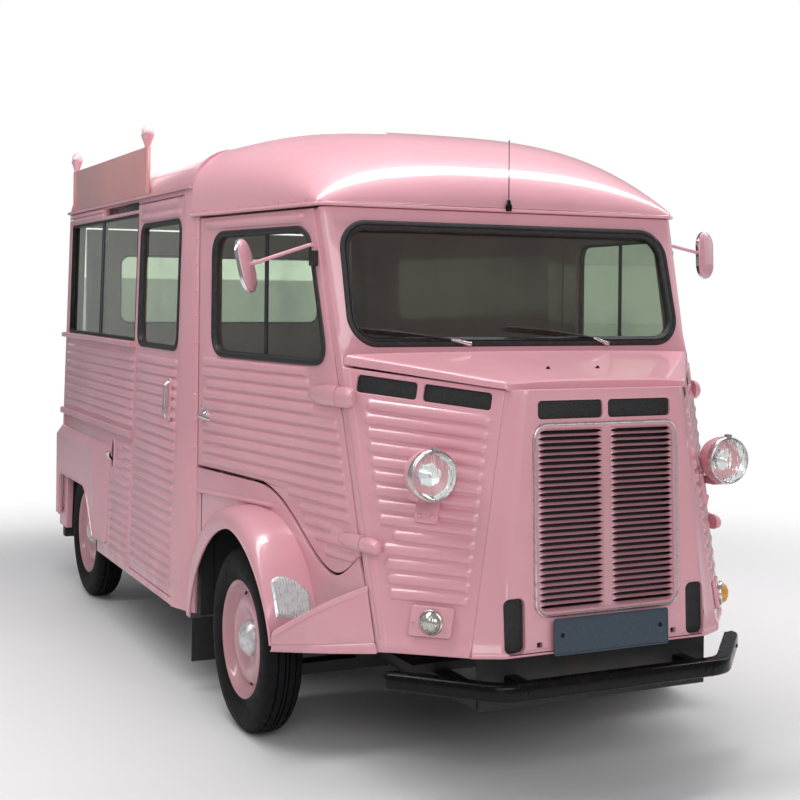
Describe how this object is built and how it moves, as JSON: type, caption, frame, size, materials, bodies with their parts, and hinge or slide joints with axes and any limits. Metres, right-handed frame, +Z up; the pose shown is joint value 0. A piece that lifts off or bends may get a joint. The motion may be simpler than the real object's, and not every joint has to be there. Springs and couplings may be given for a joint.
{
  "type": "food truck",
  "caption": "Vintage forward-control food truck with corrugated steel body, flat louvred nose, swept cab doors, sliding side door, serving window and roof sign board.",
  "frame": {"origin": "on the ground, under the middle of the whole truck", "axes": "+Z up, -Y towards the nose, +X towards the truck's left side"},
  "size_m": [2.0942, 4.264, 2.388],
  "materials": {
    "body_pink": "gloss enamel",
    "wheel_pink": "gloss enamel",
    "grille_pink": "gloss enamel with a bright frame",
    "bumper_black": "gloss black enamel",
    "chassis_black": "satin black",
    "engine_grey": "cast and oily",
    "axle_iron": "painted castings",
    "tyre_rubber": "matt tread rubber",
    "window_glass": "clear with a faint green tint",
    "lamp_pink": "gloss bowl with a chrome rim",
    "mirror_chrome": "bright arm, pink back",
    "sign_pink": "gloss enamel",
    "seat_leather": "dark vinyl",
    "control_black": "moulded rim",
    "counter_steel": "brushed sheet"
  },
  "bodies": {
    "body": {"nose_panel": "body_pink", "cowl_cheek_left": "body_pink", "cowl_cheek_right": "body_pink", "windscreen_frame": "body_pink", "cab_roof": "body_pink", "cargo_roof": "body_pink", "body_side_left": "body_pink", "body_side_right": "body_pink", "sliding_door": "body_pink", "rear_fairing_left": "body_pink", "rear_fairing_right": "body_pink", "front_fender_left": "body_pink", "front_fender_right": "body_pink", "grille": "grille_pink", "rear_axle": "axle_iron", "platform": "chassis_black", "cab_floor": "chassis_black", "front_valance": "chassis_black", "front_housing_left": "chassis_black", "front_housing_right": "chassis_black", "rear_housing_left": "chassis_black", "rear_housing_right": "chassis_black", "engine_block": "engine_grey", "windscreen": "window_glass", "sliding_door_window": "window_glass", "serving_window": "window_glass", "front_bumper": "bumper_black", "headlamp_left": "lamp_pink", "headlamp_right": "lamp_pink", "lower_lamp_left": "lamp_pink", "lower_lamp_right": "lamp_pink", "sign_board": "sign_pink", "seat_left": "seat_leather", "seat_right": "seat_leather", "steering_wheel": "control_black", "serving_counter": "counter_steel"},
    "knuckle_left": {"knuckle_left": "axle_iron"},
    "front_wheel_left": {"tyre_front_left": "tyre_rubber", "wheel_front_left": "wheel_pink"},
    "rear_wheel_left": {"tyre_rear_left": "tyre_rubber", "wheel_rear_left": "wheel_pink"},
    "cab_door_left": {"cab_door_left": "body_pink", "cab_door_window_left": "window_glass", "mirror_left": "mirror_chrome"},
    "rear_door_left": {"rear_door_left": "body_pink"},
    "knuckle_right": {"knuckle_right": "axle_iron"},
    "front_wheel_right": {"tyre_front_right": "tyre_rubber", "wheel_front_right": "wheel_pink"},
    "rear_wheel_right": {"tyre_rear_right": "tyre_rubber", "wheel_rear_right": "wheel_pink"},
    "cab_door_right": {"cab_door_right": "body_pink", "cab_door_window_right": "window_glass", "mirror_right": "mirror_chrome"},
    "rear_door_right": {"rear_door_right": "body_pink"},
    "bonnet": {"bonnet": "body_pink"},
    "tailgate": {"tailgate": "body_pink", "tailgate_window": "window_glass"}
  },
  "joints": [
    {"name": "steer_left", "type": "hinge", "parent": "body", "child": "knuckle_left", "pos_m": [0.733, -0.994, 0.338], "axis": [0, 0, 1], "range_deg": [-28, 28]},
    {"name": "steer_right", "type": "hinge", "parent": "body", "child": "knuckle_right", "pos_m": [-0.733, -0.994, 0.338], "axis": [0, 0, 1], "range_deg": [-28, 28]},
    {"name": "front_wheel_spin_left", "type": "hinge", "parent": "knuckle_left", "child": "front_wheel_left", "pos_m": [0.851, -0.994, 0.338], "axis": [1, 0, 0], "continuous": true},
    {"name": "rear_wheel_spin_left", "type": "hinge", "parent": "body", "child": "rear_wheel_left", "pos_m": [0.851, 1.536, 0.338], "axis": [1, 0, 0], "continuous": true},
    {"name": "front_wheel_spin_right", "type": "hinge", "parent": "knuckle_right", "child": "front_wheel_right", "pos_m": [-0.851, -0.994, 0.338], "axis": [1, 0, 0], "continuous": true},
    {"name": "rear_wheel_spin_right", "type": "hinge", "parent": "body", "child": "rear_wheel_right", "pos_m": [-0.851, 1.536, 0.338], "axis": [1, 0, 0], "continuous": true},
    {"name": "cab_door_hinge_left", "type": "hinge", "parent": "body", "child": "cab_door_left", "pos_m": [0.71911, -1.62148, 1.026], "axis": [-0.0399, -0.2694, -0.9622], "range_deg": [0, 68]},
    {"name": "cab_door_hinge_right", "type": "hinge", "parent": "body", "child": "cab_door_right", "pos_m": [-0.71911, -1.62148, 1.026], "axis": [-0.0399, 0.2694, 0.9622], "range_deg": [0, 68]},
    {"name": "bonnet_hinge", "type": "hinge", "parent": "body", "child": "bonnet", "pos_m": [0, -1.49424, 1.414], "axis": [1, 0, 0], "range_deg": [-55, 0]},
    {"name": "tailgate_hinge", "type": "hinge", "parent": "body", "child": "tailgate", "pos_m": [0, 2.092, 1.978], "axis": [1, 0, 0], "range_deg": [0, 85]},
    {"name": "rear_door_hinge_left", "type": "hinge", "parent": "body", "child": "rear_door_left", "pos_m": [0.81185, 2.092, 0.786], "axis": [0, 0, -1], "range_deg": [0, 100]},
    {"name": "rear_door_hinge_right", "type": "hinge", "parent": "body", "child": "rear_door_right", "pos_m": [-0.81185, 2.092, 0.786], "axis": [0, 0, 1], "range_deg": [0, 100]}
  ],
  "couplings": [
    {"joint": "steer_right", "follows": "steer_left", "ratio": 1}
  ]
}
